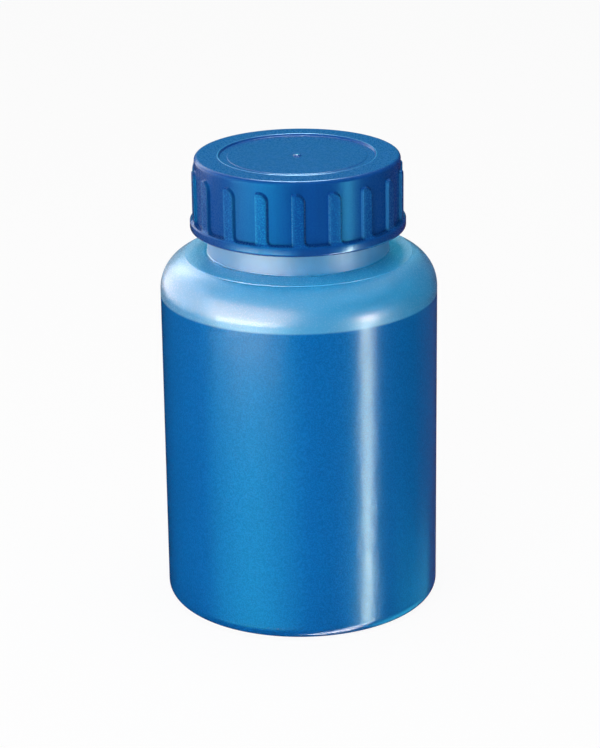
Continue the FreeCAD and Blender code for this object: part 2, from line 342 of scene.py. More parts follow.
def new_tree(name, inputs):
    """A geometry node tree with named inputs: (name, socket type)."""
    tree = bpy.data.node_groups.new(name, "GeometryNodeTree")
    tree.interface.new_socket("Geometry", in_out="INPUT", socket_type="NodeSocketGeometry")
    for socket, kind in inputs:
        tree.interface.new_socket(socket, in_out="INPUT", socket_type=kind)
    tree.interface.new_socket("Geometry", in_out="OUTPUT", socket_type="NodeSocketGeometry")
    return tree


def feed(tree, node, inputs):
    """Link or set inputs of a node, each with a socket or a plain value."""
    for key, value in inputs.items():
        socket = node.inputs[key]
        if isinstance(value, bpy.types.NodeSocket):
            tree.links.new(value, socket)
        else:
            socket.default_value = value


def add_node(tree, kind, inputs=None, **settings):
    """Add a node with its settings first and then its inputs, whose names depend on them."""
    node = tree.nodes.new(kind)
    for name, value in settings.items():
        setattr(node, name, value)
    feed(tree, node, inputs or {})
    return node


def maths(tree, operation, first, second=0.0):
    """The result of a Math node."""
    return add_node(tree, "ShaderNodeMath", {0: first, 1: second}, operation=operation).outputs[0]


def run_tree(piece, tree, values):
    """Run a tree on a piece with its inputs set by identifier, and keep the plain mesh."""
    modifier = piece.modifiers.new(tree.name, "NODES")
    modifier.node_group = tree
    for item in tree.interface.items_tree:
        if item.in_out == "INPUT" and item.name in values:
            modifier[item.identifier] = values[item.name]
    replace_by_evaluated(piece)
    return piece


def sector_tree():
    """Repeats a sector around the axis and welds it into one closed skin."""
    tree = new_tree("Sectors around an axis", [
        ("Count", "NodeSocketInt"), ("Weld", "NodeSocketFloat"),
        ("Material", "NodeSocketMaterial")])
    given = add_node(tree, "NodeGroupInput").outputs
    step = maths(tree, "DIVIDE", 2 * math.pi, given["Count"])
    index = add_node(tree, "GeometryNodeInputIndex").outputs[0]
    turn = add_node(tree, "FunctionNodeAxisAngleToRotation", {
        "Axis": (0, 0, 1), "Angle": maths(tree, "MULTIPLY", index, step)})
    points = add_node(tree, "GeometryNodePoints", {"Count": given["Count"]})
    copies = add_node(tree, "GeometryNodeInstanceOnPoints", {
        "Points": points.outputs[0], "Instance": given["Geometry"], "Rotation": turn.outputs[0]})
    solid = add_node(tree, "GeometryNodeRealizeInstances", {"Geometry": copies.outputs[0]})
    welded = add_node(tree, "GeometryNodeMergeByDistance", {
        "Geometry": solid.outputs[0], "Distance": given["Weld"]})
    painted = add_node(tree, "GeometryNodeSetMaterial", {
        "Geometry": welded.outputs[0], "Material": given["Material"]})
    add_node(tree, "NodeGroupOutput", {0: painted.outputs[0]})
    return tree


def thread_tree():
    """A helical ridge with a rounded crest whose two ends run out into the wall."""
    steps_in_turn = 96
    points_in_round = 4
    thin_end = 0.02
    tree = new_tree("Thread ridge", [
        ("Radius", "NodeSocketFloat"), ("Height", "NodeSocketFloat"),
        ("Pitch", "NodeSocketFloat"), ("Turns", "NodeSocketFloat"),
        ("Root Width", "NodeSocketFloat"), ("Crest Width", "NodeSocketFloat"),
        ("Depth", "NodeSocketFloat"), ("Sink", "NodeSocketFloat"),
        ("Crest Round", "NodeSocketFloat"), ("Run-out", "NodeSocketFloat"),
        ("Facing", "NodeSocketFloat"), ("Material", "NodeSocketMaterial")])
    given = add_node(tree, "NodeGroupInput").outputs
    rise = maths(tree, "MULTIPLY", given["Pitch"], given["Turns"])
    helix = add_node(tree, "GeometryNodeCurveSpiral", {
        "Resolution": steps_in_turn, "Rotations": given["Turns"],
        "Start Radius": given["Radius"], "End Radius": given["Radius"], "Height": rise,
        "Reverse": True})
    lift = add_node(tree, "ShaderNodeCombineXYZ", {"Z": given["Height"]})
    lifted = add_node(tree, "GeometryNodeTransform", {
        "Geometry": helix.outputs[0], "Translation": lift.outputs[0]})
    level = add_node(tree, "GeometryNodeSetCurveNormal", {"Curve": lifted.outputs[0]}, mode="Z_UP")

    place = add_node(tree, "GeometryNodeSplineParameter").outputs["Factor"]
    to_end = maths(tree, "MINIMUM", place, maths(tree, "SUBTRACT", 1.0, place))
    share = maths(tree, "DIVIDE", to_end, given["Run-out"])
    swell = maths(tree, "MAXIMUM", maths(tree, "MINIMUM", share, 1.0), thin_end)

    height = maths(tree, "ADD", given["Depth"], given["Sink"])
    section = add_node(tree, "GeometryNodeCurvePrimitiveQuadrilateral", {
        "Height": height, "Bottom Width": given["Root Width"],
        "Top Width": given["Crest Width"], "Offset": 0.0}, mode="TRAPEZOID")
    soft = add_node(tree, "GeometryNodeFilletCurve", {
        "Curve": section.outputs[0], "Count": points_in_round, "Radius": given["Crest Round"],
        "Limit Radius": True}, mode="POLY")
    middle = maths(tree, "SUBTRACT", maths(tree, "DIVIDE", height, 2.0), given["Sink"])
    outwards = maths(tree, "MULTIPLY", middle, given["Facing"])
    shift = add_node(tree, "ShaderNodeCombineXYZ", {"X": outwards})
    quarter = maths(tree, "MULTIPLY", given["Facing"], -math.pi / 2)
    turn = add_node(tree, "FunctionNodeAxisAngleToRotation", {"Axis": (0, 0, 1), "Angle": quarter})
    set_out = add_node(tree, "GeometryNodeTransform", {
        "Geometry": soft.outputs[0], "Translation": shift.outputs[0], "Rotation": turn.outputs[0]})
    ridge = add_node(tree, "GeometryNodeCurveToMesh", {
        "Curve": level.outputs[0], "Profile Curve": set_out.outputs[0], "Scale": swell,
        "Fill Caps": True})
    painted = add_node(tree, "GeometryNodeSetMaterial", {
        "Geometry": ridge.outputs[0], "Material": given["Material"]})
    solid = add_node(tree, "GeometryNodeRealizeInstances", {"Geometry": painted.outputs[0]})
    add_node(tree, "NodeGroupOutput", {0: solid.outputs[0]})
    return tree


def thread_ridge(name, radius, height, facing, thread, material):
    """A thread ridge on a wall: facing is 1 on an outer wall and -1 in a bore."""
    piece = add_object(name, bpy.data.meshes.new(name))
    tree = bpy.data.node_groups.get("Thread ridge") or thread_tree()
    run_tree(piece, tree, {
        "Radius": radius, "Height": height, "Pitch": thread.pitch, "Turns": thread.turns,
        "Root Width": thread.root_width, "Crest Width": thread.crest_width,
        "Depth": thread.depth, "Sink": thread.sink, "Crest Round": thread.crest_round,
        "Run-out": thread.run_out, "Facing": float(facing), "Material": material})
    return settle(piece)


# ---------------------------------------------------------------------------- materials

def shader_group(name, inputs, outputs):
    """A shader node group: inputs are (name, type, default) and outputs (name, type)."""
    group = bpy.data.node_groups.new(name, "ShaderNodeTree")
    for socket, kind, default in inputs:
        item = group.interface.new_socket(socket, in_out="INPUT", socket_type=kind)
        item.default_value = default
    for socket, kind in outputs:
        group.interface.new_socket(socket, in_out="OUTPUT", socket_type=kind)
    return group


def object_place(tree):
    """Object coordinates, which stay with a piece when it moves."""
    return add_node(tree, "ShaderNodeTexCoord").outputs["Object"]


def grain_group():
    """Fine satin grain of a spark-eroded mould: a height, and a speckle for gloss."""
    group = shader_group(
        "Moulded grain",
        [("Size", "NodeSocketFloat", 0.5 * MM), ("Contrast", "NodeSocketFloat", 1.0)],
        [("Height", "NodeSocketFloat"), ("Speckle", "NodeSocketFloat")])
    given = add_node(group, "NodeGroupInput").outputs
    place = object_place(group)
    scale = maths(group, "DIVIDE", 1.0, given["Size"])
    fine = add_node(group, "ShaderNodeTexNoise", {
        "Vector": place, "Scale": scale, "Detail": 1.0, "Roughness": 0.5}).outputs["Fac"]
    pits = add_node(group, "ShaderNodeTexVoronoi", {
        "Vector": place, "Scale": scale}, feature="F1").outputs["Distance"]
    pit_share, middle = 0.3, 0.5
    height = maths(group, "ADD", fine, maths(group, "MULTIPLY", pits, pit_share))
    swing = maths(group, "MULTIPLY", maths(group, "SUBTRACT", fine, middle), given["Contrast"])
    speckle = maths(group, "ADD", swing, middle)
    add_node(group, "NodeGroupOutput", {"Height": height, "Speckle": speckle})
    return group


def flow_group():
    """Soft upright streaks and clouds left by the flow of the melt."""
    group = shader_group(
        "Flow marks",
        [("Width", "NodeSocketFloat", 4 * MM), ("Stretch", "NodeSocketFloat", 8.0)],
        [("Factor", "NodeSocketFloat")])
    given = add_node(group, "NodeGroupInput").outputs
    across = maths(group, "DIVIDE", 1.0, given["Width"])
    along = maths(group, "DIVIDE", across, given["Stretch"])
    scale = add_node(group, "ShaderNodeCombineXYZ", {"X": across, "Y": across, "Z": along})
    drawn = add_node(group, "ShaderNodeVectorMath", {
        0: object_place(group), 1: scale.outputs[0]}, operation="MULTIPLY")
    noise = add_node(group, "ShaderNodeTexNoise", {
        "Vector": drawn.outputs[0], "Scale": 1.0, "Detail": 3.0, "Roughness": 0.5})
    add_node(group, "NodeGroupOutput", {"Factor": noise.outputs["Fac"]})
    return group


def use_group(tree, name, maker, values):
    """Place a shared group in a material with its own values."""
    group = bpy.data.node_groups.get(name) or maker()
    return add_node(tree, "ShaderNodeGroup", values, node_tree=group).outputs


def grain_in(tree, size, contrast):
    """The moulded grain with its own size and contrast."""
    return use_group(tree, "Moulded grain", grain_group, {"Size": size, "Contrast": contrast})


def flow_in(tree, width, stretch):
    """The share of the flow marks with their own width and stretch."""
    marks = use_group(tree, "Flow marks", flow_group, {"Width": width, "Stretch": stretch})
    return marks["Factor"]


def bare_material(name):
    """A material with an empty node tree."""
    material = bpy.data.materials.new(name)
    material.use_nodes = True
    material.node_tree.nodes.clear()
    return material, material.node_tree


def new_material(name):
    """A material with only a Principled BSDF and its output."""
    material, tree = bare_material(name)
    shader = add_node(tree, "ShaderNodeBsdfPrincipled")
    add_node(tree, "ShaderNodeOutputMaterial", {"Surface": shader.outputs[0]})
    return material, tree, shader


def blend(tree, share, under, over):
    """Lay one colour over another by a share. Each is three values or a socket."""
    shades = [shade if isinstance(shade, bpy.types.NodeSocket) else (*shade, 1.0)
              for shade in (under, over)]
    mix = add_node(tree, "ShaderNodeMix", {
        "Factor": share, "A": shades[0], "B": shades[1]}, data_type="RGBA")
    return mix.outputs["Result"]


def spread(tree, value, low, high, out_low, out_high):
    """Map a value from one range to another."""
    node = add_node(tree, "ShaderNodeMapRange", {
        "Value": value, "From Min": low, "From Max": high, "To Min": out_low, "To Max": out_high})
    return node.outputs["Result"]


def scaled(shade, share):
    """A colour made lighter or darker."""
    return tuple(min(1.0, channel * share) for channel in shade)


def clouded(tree, share, shade, dark, light):
    """A colour that drifts from a darker to a lighter tone of itself by a share."""
    return blend(tree, share, scaled(shade, dark), scaled(shade, light))


def stored(tree, name):
    """A value stored on the points of the mesh."""
    return add_node(tree, "ShaderNodeAttribute", attribute_name=name).outputs["Fac"]


def bump(tree, height, strength, distance):
    """The normal that a height gives."""
    node = add_node(tree, "ShaderNodeBump", {
        "Height": height, "Strength": strength, "Distance": distance})
    return node.outputs["Normal"]


def shell_material(finishes, neck_foot):
    """Natural polypropylene: satin and grainy, and clear enough to take the liquid's colour.

    Where the liquid wets it, the wall shows the liquid from edge to edge. Above the level it is
    a milky, half see-through skin, duller on the neck, and its inner side is left clear.
    """
    material, tree, shader = new_material("natural_polypropylene")
    grain = grain_in(tree, finishes.grain, 1.2)
    flow = flow_in(tree, 6 * MM, 7.0)
    height = add_node(tree, "ShaderNodeSeparateXYZ", {0: object_place(tree)}).outputs["Z"]
    level = node_heights("liquid_fill")[1]
    blur = 0.3 * MM
    dry = spread(tree, height, level - blur, level + blur, 0.0, 1.0)
    skin = clouded(tree, flow, finishes.shell, 0.96, 1.03)
    clouds = clouded(tree, flow, finishes.liquid, 0.94, 1.06)
    pits = spread(tree, grain["Speckle"], 0.35, 0.65, 0.0, 0.5)
    wetted = blend(tree, pits, clouds, scaled(finishes.liquid, 1.6))
    cover = maths(tree, "MULTIPLY", stored(tree, "outer_skin"), finishes.cover)
    wet = maths(tree, "SUBTRACT", 1.0, dry)
    satin = spread(tree, grain["Speckle"], 0.25, 0.75, 0.06, 0.22)
    on_ledge, on_neck = neck_foot + 0.2 * MM, neck_foot + 0.9 * MM
    dull = spread(tree, height, on_ledge, on_neck, 0.1, 0.5)
    feed(tree, shader, {
        "Base Color": blend(tree, dry, wetted, skin),
        "Alpha": maths(tree, "ADD", wet, maths(tree, "MULTIPLY", dry, cover)),
        "Roughness": maths(tree, "ADD", satin, maths(tree, "MULTIPLY", dry, dull)),
        "Normal": bump(tree, grain["Height"], 0.4, 0.1 * MM),
        "Coat Weight": dry, "Coat Roughness": 0.45, "Coat IOR": 1.5,
        "IOR": 1.49, "Specular IOR Level": 0.3,
        "Subsurface Weight": 1.0, "Subsurface Radius": (1.0, 1.0, 1.0),
        "Subsurface Scale": 16 * MM})
    shader.subsurface_method = "BURLEY"
    return material


def cap_material(finishes):
    """Dyed polypropylene: satin panels, grainier ribs, polished parts and painted glints, shade
    and highlights, as mark_ribs says.
    """
    material, tree, shader = new_material("dyed_polypropylene")
    grain = grain_in(tree, finishes.grain, 1.6)
    tone = clouded(tree, flow_in(tree, 2.2 * MM, 9.0), finishes.cap, 0.82, 1.18)
    eroded = stored(tree, "eroded")
    # painted glints: lighter specks on the grain of the rib faces
    painted_glint = spread(tree, grain["Speckle"], 0.5, 0.9, 0.0, 0.55)
    bright = blend(tree, maths(tree, "MULTIPLY", painted_glint, eroded), tone, finishes.painted_glint)
    # painted shade: half-strength cap colour laid into the corners at the foot of the ribs and the
    # flange
    corner = maths(tree, "MULTIPLY", stored(tree, "corner"), 0.6)
    with_painted_shade = blend(tree, corner, bright, scaled(finishes.cap, 0.5))
    # painted highlight on the crisp left edges of the ribs and on the bead
    crest = maths(tree, "MULTIPLY", stored(tree, "crest"), 0.7)
    share = spread(tree, eroded, 0.0, 1.0, 0.06, 1.0)
    height = maths(tree, "MULTIPLY", grain["Height"], share)
    feed(tree, shader, {
        "Base Color": blend(tree, crest, with_painted_shade, finishes.crest),
        "Roughness": spread(tree, grain["Speckle"], 0.2, 0.8, 0.22, 0.34),
        "Normal": bump(tree, height, 0.28, 0.2 * MM),
        "Coat Weight": stored(tree, "polished"), "Coat Roughness": 0.17,
        "Specular IOR Level": 0.13, "Specular Tint": (0.01, 0.7, 1.0, 1.0)})
    return material


def liquid_material(finishes):
    """Deep blue sample liquid, seen through the wall."""
    material, tree, shader = new_material("blue_liquid")
    flow = flow_in(tree, 30 * MM, 1.5)
    feed(tree, shader, {
        "Base Color": clouded(tree, flow, finishes.liquid, 0.94, 1.06),
        "Roughness": spread(tree, flow, 0.3, 0.7, 0.05, 0.09), "IOR": 1.33})
    return material


def ring_material(finishes):
    """White silicone with a dull bloom."""
    material, tree, shader = new_material("white_silicone")
    grain = grain_in(tree, 0.3 * MM, 1.0)
    feed(tree, shader, {
        "Base Color": clouded(tree, grain["Speckle"], finishes.ring, 0.95, 1.03),
        "Roughness": spread(tree, grain["Speckle"], 0.2, 0.8, 0.55, 0.68),
        "Normal": bump(tree, grain["Height"], 0.15, 0.1 * MM)})
    return material


# ---------------------------------------------------------------------------- pieces

def thread_foot(thread):
    """Height at which the neck's thread starts."""
    return node_heights("bottle")[1] - thread.top_drop - thread.pitch * thread.turns


def spigot_radius(bottle, cap):
    """Outer radius of the spigot that centres the cap in the neck's bore."""
    return bottle.neck_diameter / 2 - bottle.neck_wall - cap.spigot_gap


def shell_outline(bottle):
    """The half section of the shell, from the middle of the underside round to the inner floor."""
    outer = node_radius("liquid_fill") + LIQUID_GAP + bottle.wall
    inner = outer - bottle.wall
    lip = node_heights("bottle")[1]
    line_low, line_bottom, line_high = (
        bottle.heel_round + rise for rise in (0.05 * MM, 0.15 * MM, 0.3 * MM))
    slope = bottle.shoulder_slope
    step_radius = outer - bottle.shoulder_round * (1 - math.sin(slope))
    step_foot = bottle.straight_top + bottle.shoulder_round * math.cos(slope)
    step_top = step_foot + bottle.ledge_step
    meeting = step_foot - (outer - step_radius) * math.tan(slope)
    neck = bottle.neck_diameter / 2
    bore = neck - bottle.neck_wall
    ledge = lip - bottle.neck_height
    gutter_share = bottle.gutter_width / (step_radius - neck)
    ledge_beside = ledge + (step_top - ledge) * gutter_share
    foot_outer = outer - bottle.heel_round
    foot_inner = foot_outer - bottle.foot_width
    inner_round = bottle.shoulder_round - bottle.wall
    ceiling = bottle.straight_top + inner_round * math.cos(slope)
    return rounded([
        (0.0, bottle.push_up, 0),
        (foot_inner - bottle.push_up_run, bottle.push_up, 2 * bottle.foot_round),
        (foot_inner, 0.0, bottle.foot_round),
        (outer, 0.0, bottle.heel_round),
        (outer, line_low, 0),
        (outer - bottle.parting, line_bottom, 0),
        (outer, line_high, 0),
        (outer, meeting, bottle.shoulder_round),
        (step_radius, step_foot, bottle.step_round),
        (step_radius, step_top, bottle.step_round),
        (neck + bottle.gutter_width, ledge_beside, bottle.gutter_width),
        (neck, ledge - bottle.gutter, bottle.neck_foot_round),
        (neck, lip, bottle.lip_round),
        (bore, lip, bottle.lip_round),
        (bore, ceiling, 2 * bottle.lip_round),
        (inner, ceiling, inner_round),
        (inner, bottle.floor, bottle.heel_round - bottle.wall),
        (0.0, bottle.floor, 0),
    ])


def mark_outer_skin(shell):
    """Store on every point whether it faces away from the axis, and so lies on the outside."""
    inwards, downwards = -0.3, -0.9
    outer = []
    for vertex in shell.data.vertices:
        away = Vector((vertex.co.x, vertex.co.y, 0)).normalized()
        hidden = vertex.normal.dot(away) < inwards or vertex.normal.z < downwards
        outer.append(0.0 if hidden else 1.0)
    store_values(shell, "outer_skin", outer)


def make_shell(scene):
    """The blow-moulded shell and the thread on its neck."""
    bottle, thread, finishes = scene.bottle_sizes, scene.thread_sizes, scene.bottle_finishes
    material = shell_material(finishes, node_heights("bottle")[1] - bottle.neck_height)
    mesh = turned_mesh("bottle_shell", shell_outline(bottle), even_turn(TURN_STEPS), True)
    shell = add_object("bottle_shell", mesh)
    mark_outer_skin(shell)
    settle(shell)
    finish_piece(shell, "bottle", material, ["bottle"])
    ridge = thread_ridge(
        "neck_thread", bottle.neck_diameter / 2, thread_foot(thread), 1, thread, material)
    store_values(ridge, "outer_skin", [1.0] * len(ridge.data.vertices))
    finish_piece(ridge, "bottle", material)


def make_liquid(scene):
    """The liquid, with its surface drawn up a little at the wall."""
    bottle, finishes = scene.bottle_sizes, scene.bottle_finishes
    radius = node_radius("liquid_fill")
    low, level = node_heights("liquid_fill")
    outline = rounded([
        (0.0, low, 0),
        (radius, low, bottle.heel_round - bottle.wall),
        (radius, level, 0),
    ])
    count = 8
    for step in range(1, count + 1):
        share = step / count
        drop = bottle.meniscus * (1 - (1 - share) ** 2)
        outline.append(Vector((radius - bottle.meniscus_run * share, level - drop)))
    outline.append(Vector((0.0, level - bottle.meniscus)))
    mesh = turned_mesh("blue_liquid", outline, even_turn(TURN_STEPS), True)
    liquid = settle(add_object("blue_liquid", mesh))
    finish_piece(liquid, "bottle", liquid_material(finishes), ["liquid_fill"])


def make_ring(scene):
    """The flat sealing ring on the lip."""
    bottle, cap = scene.bottle_sizes, scene.cap_sizes
    outer = node_radius("sealing_ring")
    low, high = node_heights("sealing_ring")
    loose, soft = 0.25 * MM, 0.3 * MM
    inner = spigot_radius(bottle, cap) + loose
    outline = rounded([
        ((inner + outer) / 2, low, 0),
        (outer, low, soft),
        (outer, high, soft),
        (inner, high, soft),
        (inner, low, soft),
        ((inner + outer) / 2, low, 0),
    ])
    mesh = turned_mesh("silicone_ring", outline[:-1] + outline[:1], even_turn(TURN_STEPS), True)
    ring = add_object("silicone_ring", mesh)
    weld = ring.modifiers.new("weld", "WELD")
    weld.merge_threshold = ROUND_TOLERANCE
    replace_by_evaluated(ring)
    settle(ring)
    finish_piece(ring, "ring", ring_material(scene.bottle_finishes), ["sealing_ring"])


def rises(value, start, run):
    """Ease from 0 to 1 while a value goes from start over a run."""
    share = max(0.0, min(1.0, (value - start) / run))
    return share * share * (3 - 2 * share)


def falls(value, start, run):
    """Ease from 1 to 0 in the same way."""
    return 1 - rises(value, start, run)


def graded(start, *parts):
    """Values from start on, at the spacing of each (end, spacing) part, without the last end."""
    values = []
    for end, spacing in parts:
        count = max(1, round((end - start) / spacing))
        values += [start + (end - start) * index / count for index in range(count)]
        start = end
    return values


class RibbedWall:
    """The cap's outer wall: panels, finger ribs and flange as one relief over the panel."""

    def __init__(self, cap, panel, low):
        self.cap = cap
        self.panel = panel
        self.low = low
        self.side = cap.rib_width / 2
        self.half_span = panel * math.pi / cap.rib_count

    def outside(self, across, up):
        """Distance into the panel from the nearest edge of the rib or the flange."""
        cap = self.cap
        over_flange = up - cap.flange_height
        over_top = up - cap.rib_top
        if across < 0:
            beside = max(-self.side - across, over_top)
            return min(beside, over_flange)
        turn = cap.rib_top_round
        past_side = across - self.side
        in_corner = (past_side + turn, over_top + turn)
        if min(in_corner) > 0:
            beside = math.hypot(*in_corner) - turn
        else:
            beside = max(past_side, over_top)
        flare = cap.rib_foot_round
        if beside < flare and over_flange < flare:
            return flare - math.hypot(flare - beside, flare - over_flange)
        return min(beside, over_flange)

    def draft(self, across, up):
        """Run of the slope at the edge of a panel: crisp at a rib's left side and the flange."""
        cap = self.cap
        near_left = falls(abs(across + self.side), 0.5 * MM, 0.8 * MM)
        near_flange = falls(up - cap.flange_height, 0.2 * MM, cap.rib_foot_round)
        crisp = max(near_left, near_flange)
        return cap.drafted_side + (cap.steep_side - cap.drafted_side) * crisp

    def raised(self, across, up):
        """How much of the full relief stands at a point, from 0 on a panel to 1."""
        return falls(self.outside(across, up), 0.0, self.draft(across, up))

    def shade(self, across, up):
        """How dark the painted shade is in the corner at the foot of a rib's right side and of the
        flange.
        """
        cap = self.cap
        middle = 0.15 * MM
        near = falls(abs(self.outside(across, up) - middle), middle, 0.45 * MM)
        right = rises(across - self.side, -cap.rib_top_round, 0.5 * MM)
        low = falls(up - cap.flange_height, 0.6 * MM, 0.6 * MM)
        return near * max(right, low)

    def left_edge_highlight(self, across, up):
        """How near a point is to the crisp left edge of a rib's face, which gets a painted
        highlight.
        """
        cap = self.cap
        near = falls(abs(across + self.side + 0.05 * MM), 0.1 * MM, 0.2 * MM)
        over_flange = rises(up - cap.flange_height, 0.0, MM)
        under_top = rises(cap.rib_top - up, 0.0, MM)
        return near * over_flange * under_top

    def height(self, up):
        """Full relief over the panel: the flange, easing into the ribs."""
        cap = self.cap
        ease = rises(up - cap.flange_height, -0.5 * MM, 1.1 * MM)
        proud = cap.flange_proud + (cap.rib_proud - cap.flange_proud) * ease
        if up < cap.flange_round:
            proud -= cap.flange_round - math.sqrt(
                max(0.0, cap.flange_round ** 2 - (cap.flange_round - up) ** 2))
        return proud

    def relief(self, turn, radius, up):
        """What to add to the panel's radius at a point of the outer wall."""
        if radius < self.panel - AXIS_RADIUS:
            return 0.0
        across = (turn - FRONT) * self.panel
        height = up - self.low
        return self.raised(across, height) * self.height(height)

    def columns(self):
        """Angles across one sector, close together at the edges of the rib."""
        cap, side, span = self.cap, self.side, self.half_span
        flare_end = side + cap.rib_foot_round + 0.3 * MM
        places = graded(
            -span, (-side - 0.5 * MM, 0.9 * MM), (-side + 0.15 * MM, 0.08 * MM),
            (side - cap.rib_top_round, 0.6 * MM), (side, 0.2 * MM), (side + 0.7 * MM, 0.1 * MM),
            (flare_end, 0.25 * MM), (span, 0.8 * MM))
        return [FRONT + place / self.panel for place in places + [span]]

    def heights(self, top):
        """Heights of the rows of the outer wall, close together at the edges of the ribs."""
        cap, flange, rib_top = self.cap, self.cap.flange_height, self.cap.rib_top
        flare_end = flange + cap.rib_foot_round + 0.5 * MM
        return graded(
            0.0, (cap.flange_round, 0.15 * MM), (flange - 0.6 * MM, 1.5 * MM),
            (flange + 0.7 * MM, 0.12 * MM), (flare_end, 0.22 * MM),
            (rib_top - cap.rib_top_round, 2.2 * MM), (rib_top + 0.7 * MM, 0.17 * MM),
            (top - cap.edge_round, 1.0 * MM))


def cap_outline(bottle, cap, wall):
    """The half section of the cap, from the middle of its ceiling round to that of its top."""
    low, top = node_heights("screw_cap")
    bore = wall.panel - cap.wall
    spigot = spigot_radius(bottle, cap)
    spigot_end = node_heights("sealing_ring")[0] - cap.spigot_reach
    ceiling = low + cap.depth
    small = 0.25 * MM
    recess_draft = 0.3 * MM
    inside = rounded([
        (0.0, ceiling, 0),
        (spigot - cap.spigot_wall, ceiling, small),
        (spigot - cap.spigot_wall, spigot_end, small),
        (spigot, spigot_end, 2 * small),
        (spigot, ceiling, small / 2),
        (bore, ceiling, small / 2),
        (bore, low, small),
        (wall.panel, low, 0),
    ])
    skin = [Vector((wall.panel, low + height)) for height in wall.heights(top - low)]
    recess = cap.recess_diameter / 2
    dish = cap.dish_diameter / 2
    dimple = cap.dimple_diameter / 2
    gate = cap.gate_diameter / 2
    floor = top - cap.recess_depth
    pit = floor + cap.dish_rise - cap.dimple_depth
    lid = rounded([
        (wall.panel, top - 2 * cap.edge_round, 0),
        (wall.panel, top, cap.edge_round),
        (recess + cap.bead_width, top, small / 2),
        (recess + cap.bead_width / 2, top + cap.bead_height, cap.bead_height),
        (recess, top, small / 2),
        (recess - recess_draft, floor, small),
        (dish + small, floor, small),
        (dish, floor + cap.dish_rise, small),
        (dimple, floor + cap.dish_rise, 4 * small),
        (gate + 1.2 * small, pit, small),
        (gate, pit + cap.gate_height, small),
        (0.0, pit + cap.gate_height, 0),
    ])
    return inside[:-1] + skin + lid[1:]


def mark_ribs(piece, wall):
    """Store what the cap's material reads on every point.

    The faces of the ribs are grainier than the panels, with painted glints, the corners of the
    panels get painted shade, the crisp edges and the bead a painted highlight, and the flange's
    lower edge and the gate are polished.
    """
    marks = {"eroded": [], "corner": [], "crest": [], "polished": []}
    cap = wall.cap
    top = node_heights("screw_cap")[1]
    span = 2 * wall.half_span / wall.panel
    edge_highlight_share = 0.6
    for vertex in piece.data.vertices:
        radius = math.hypot(vertex.co.x, vertex.co.y)
        turn = math.atan2(vertex.co.y, vertex.co.x) - FRONT
        across = ((turn + span / 2) % span - span / 2) * wall.panel
        height = vertex.co.z - wall.low
        on_wall = radius > wall.panel - AXIS_RADIUS and height > cap.flange_height - 0.2 * MM
        marks["eroded"].append(wall.raised(across, height) if on_wall else 0.0)
        # painted shade in the corners of the panels
        marks["corner"].append(wall.shade(across, height) if on_wall else 0.0)
        # painted highlight on the bead and on the crisp left edges of the ribs
        painted_bead_highlight = rises(vertex.co.z, top, 0.5 * cap.bead_height)
        painted_edge_highlight = wall.left_edge_highlight(across, height) if on_wall else 0.0
        marks["crest"].append(max(painted_bead_highlight, edge_highlight_share * painted_edge_highlight))
        under_flange = falls(height, 1.1 * MM, 0.8 * MM) if radius > wall.panel else 0.0
        on_gate = falls(radius, cap.gate_diameter / 2, 0.3 * MM) if height > cap.rib_top else 0.0
        marks["polished"].append(max(under_flange, on_gate))
    for name, values in marks.items():
        store_values(piece, name, values)


def make_cap(scene):
    """The ribbed cap, one sector repeated around the axis, and its inner thread."""
    bottle, cap, thread = scene.bottle_sizes, scene.cap_sizes, scene.thread_sizes
    material = cap_material(scene.bottle_finishes)
    low = node_heights("screw_cap")[0]
    bore = bottle.neck_diameter / 2 + thread.depth + thread.crest_gap
    wall = RibbedWall(cap, bore + cap.wall, low)
    outline = cap_outline(bottle, cap, wall)
    mesh = turned_mesh("ribbed_cap", outline, wall.columns(), False, wall.relief)
    piece = run_tree(add_object("ribbed_cap", mesh), sector_tree(), {
        "Count": cap.rib_count, "Weld": ROUND_TOLERANCE, "Material": material})
    mark_ribs(piece, wall)
    settle(piece)
    finish_piece(piece, "cap", material, ["screw_cap"])

    flank = (thread.root_width - thread.crest_width) / 2 * thread.crest_gap / thread.depth
    meshed_width = (thread.root_width + thread.crest_width) / 2 - flank
    height = thread_foot(thread) - meshed_width - thread.flank_gap
    ridge = thread_ridge("cap_thread", bore, height, -1, thread, material)
    finish_piece(ridge, "cap", material)


# ---------------------------------------------------------------------------- studio

def seen_straight(tree):
    """1 for rays from the camera and for those of gloss and see-through surfaces, otherwise 0."""
    paths = add_node(tree, "ShaderNodeLightPath").outputs
    polished = maths(tree, "MAXIMUM", paths["Is Glossy Ray"], paths["Is Transmission Ray"])
    return maths(tree, "MAXIMUM", paths["Is Camera Ray"], polished)


def floor_material(studio):
    """A pale surface that the camera sees nearly white, and that keeps soft shadows."""
    material, tree = bare_material("pale_floor")
    matte = add_node(tree, "ShaderNodeBsdfDiffuse", {"Color": (*studio.floor, 1.0)})
    white = add_node(tree, "ShaderNodeEmission", {"Color": WHITE, "Strength": 1.0})
    glow = maths(tree, "MULTIPLY", seen_straight(tree), studio.floor_glow)
    mix = add_node(tree, "ShaderNodeMixShader", {
        0: glow, 1: matte.outputs[0], 2: white.outputs[0]})
    add_node(tree, "ShaderNodeOutputMaterial", {"Surface": mix.outputs[0]})
    return material


def make_floor(studio):
    """A wide pale floor under the foot of the bottle."""
    half = 4.0
    corners = [(-half, -half, 0), (half, -half, 0), (half, half, 0), (-half, half, 0)]
    mesh = bpy.data.meshes.new("studio_floor")
    mesh.from_pydata(corners, [], [(0, 1, 2, 3)])
    floor = add_object("studio_floor", mesh)
    floor.data.materials.append(floor_material(studio))
    floor.visible_glossy = False
    floor.visible_shadow = False


def make_world(studio):
    """Room light that is white to the camera and softer on the object."""
    world = bpy.data.worlds.new("studio_room")
    bpy.context.scene.world = world
    world.use_nodes = True
    tree = world.node_tree
    tree.nodes.clear()
    strength = spread(tree, seen_straight(tree), 0.0, 1.0, studio.ambient, 1.0)
    background = add_node(tree, "ShaderNodeBackground", {"Color": WHITE, "Strength": strength})
    add_node(tree, "ShaderNodeOutputWorld", {"Surface": background.outputs[0]})


